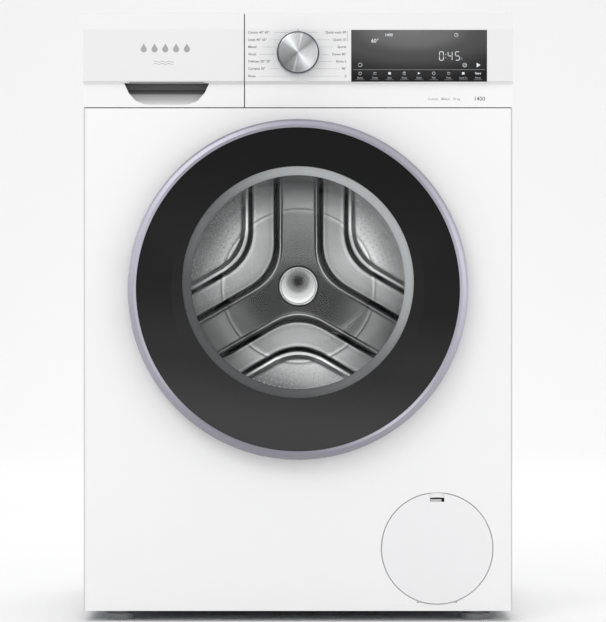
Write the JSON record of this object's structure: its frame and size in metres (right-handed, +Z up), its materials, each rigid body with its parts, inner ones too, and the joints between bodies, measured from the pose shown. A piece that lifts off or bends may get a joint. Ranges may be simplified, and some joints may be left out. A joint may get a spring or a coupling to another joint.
{
  "type": "front load washing machine",
  "caption": "Free-standing front load washing machine with a round glass door, detergent drawer, turning dial, display panel and service flap.",
  "frame": {"origin": "on the floor, under the middle of the machine", "axes": "+X to the machine's right seen from the front, +Y to the back (the door faces -Y), +Z up"},
  "size_m": [0.598, 0.632, 0.848],
  "materials": {
    "white_enamel": "satin",
    "galvanised": "satin",
    "rear_grey": "matte",
    "white_board": "satin",
    "white_plastic": "satin",
    "inner_plastic": "matte",
    "display_black": "gloss",
    "door_black": "gloss",
    "ring_silver": "satin",
    "bowl_glass": "gloss",
    "grey_rubber": "matte",
    "black_rubber": "matte",
    "dark_plastic": "matte",
    "dial_metal": "satin",
    "stainless": "satin",
    "chrome": "polished",
    "cast_aluminium": "matte",
    "concrete": "matte",
    "steel": "satin",
    "blue_plastic": "satin",
    "motor_grey": "matte"
  },
  "bodies": {
    "cabinet": {"base_frame": "galvanised", "left_side_panel": "white_enamel", "right_side_panel": "white_enamel", "rear_panel": "rear_grey", "rear_cover": "rear_grey", "front_panel": "white_enamel", "top_crossbars": "galvanised", "worktop_board": "white_board", "control_panel": "white_plastic", "display_window": "display_black", "control_module": "dark_plastic", "dispenser_housing": "inner_plastic", "inlet_valve": "white_plastic", "valve_hoses": "black_rubber", "fill_hose": "black_rubber", "door_gasket": "grey_rubber", "door_lock": "dark_plastic", "hinge_bracket": "steel", "pump_housing": "inner_plastic", "pump_motor": "dark_plastic", "sump_hose": "black_rubber", "drain_hose": "grey_rubber", "mains_inlet": "dark_plastic", "damper_tubes": "dark_plastic", "transport_caps": "inner_plastic", "tub_springs": "steel"},
    "door": {"door_ring": "ring_silver", "door_cover": "door_black", "door_frame": "white_plastic", "glass_bowl": "bowl_glass", "hinge_leaf": "steel"},
    "latch": {"latch_hook": "steel"},
    "drawer": {"drawer_front": "white_plastic", "drawer_tray": "white_plastic", "softener_siphon": "blue_plastic"},
    "dial": {"program_dial": "dial_metal"},
    "flap": {"service_flap": "white_plastic"},
    "filter": {"pump_filter": "dark_plastic"},
    "impeller": {"pump_impeller": "dark_plastic"},
    "tub": {"tub_front": "inner_plastic", "tub_rear": "inner_plastic", "front_weight": "concrete", "top_weight": "concrete", "heater": "steel", "motor_housing": "motor_grey", "damper_rods": "steel", "bearings": "steel", "drive_belt": "black_rubber"},
    "drum": {"drum_shell": "stainless", "drum_rear": "stainless", "drum_lifters": "white_plastic", "hub_cap": "chrome", "drum_spider": "cast_aluminium", "drum_pulley": "cast_aluminium"},
    "motor": {"motor_rotor": "steel"},
    "foot_1": {"foot_front_left": "dark_plastic"},
    "foot_2": {"foot_front_right": "dark_plastic"},
    "foot_3": {"foot_rear_left": "dark_plastic"},
    "foot_4": {"foot_rear_right": "dark_plastic"}
  },
  "joints": [
    {"name": "door_hinge", "type": "hinge", "parent": "cabinet", "child": "door", "pos_m": [-0.224, -0.294, 0.462], "axis": [0, 0, -1], "range_deg": [0, 171]},
    {"name": "latch_pivot", "type": "hinge", "parent": "door", "child": "latch", "pos_m": [0.209, -0.292, 0.462], "axis": [0, 0, 1], "range_deg": [-4, 4], "stiffness_Nm_per_rad": 0.2},
    {"name": "drawer_slide", "type": "slide", "parent": "cabinet", "child": "drawer", "axis": [0, -1, 0], "range_m": [0, 0.25]},
    {"name": "dial_turn", "type": "hinge", "parent": "cabinet", "child": "dial", "pos_m": [0, -0.29, 0.7903], "axis": [0, -1, 0], "continuous": true},
    {"name": "flap_hinge", "type": "hinge", "parent": "cabinet", "child": "flap", "pos_m": [0.194, -0.27275, 0.027], "axis": [1, 0, 0], "range_deg": [0, 95]},
    {"name": "filter_turn", "type": "hinge", "parent": "cabinet", "child": "filter", "pos_m": [0.194, -0.26, 0.095], "axis": [0, -1, 0], "range_deg": [0, 90]},
    {"name": "impeller_spin", "type": "hinge", "parent": "cabinet", "child": "impeller", "pos_m": [0.194, -0.178, 0.095], "axis": [0, 1, 0], "continuous": true},
    {"name": "tub_bounce", "type": "slide", "parent": "cabinet", "child": "tub", "axis": [0, 0, 1], "range_m": [-0.012, 0.012], "stiffness_N_per_m": 12000, "springref_m": 0.0314, "deforming": ["door_gasket", "tub_springs", "sump_hose", "fill_hose"]},
    {"name": "drum_spin", "type": "hinge", "parent": "tub", "child": "drum", "pos_m": [0, 0, 0.47], "axis": [0, 1, 0], "continuous": true},
    {"name": "motor_spin", "type": "hinge", "parent": "tub", "child": "motor", "pos_m": [-0.115, 0.2, 0.125], "axis": [0, 1, 0], "continuous": true},
    {"name": "foot_turn_front_left", "type": "hinge", "parent": "cabinet", "child": "foot_1", "pos_m": [-0.25, -0.23, 0.005], "axis": [0, 0, 1], "continuous": true},
    {"name": "foot_turn_front_right", "type": "hinge", "parent": "cabinet", "child": "foot_2", "pos_m": [0.25, -0.23, 0.005], "axis": [0, 0, 1], "continuous": true},
    {"name": "foot_turn_rear_left", "type": "hinge", "parent": "cabinet", "child": "foot_3", "pos_m": [-0.25, 0.262, 0.005], "axis": [0, 0, 1], "continuous": true},
    {"name": "foot_turn_rear_right", "type": "hinge", "parent": "cabinet", "child": "foot_4", "pos_m": [0.25, 0.262, 0.005], "axis": [0, 0, 1], "continuous": true}
  ],
  "couplings": [
    {"joint": "motor_spin", "follows": "drum_spin", "ratio": 13}
  ]
}
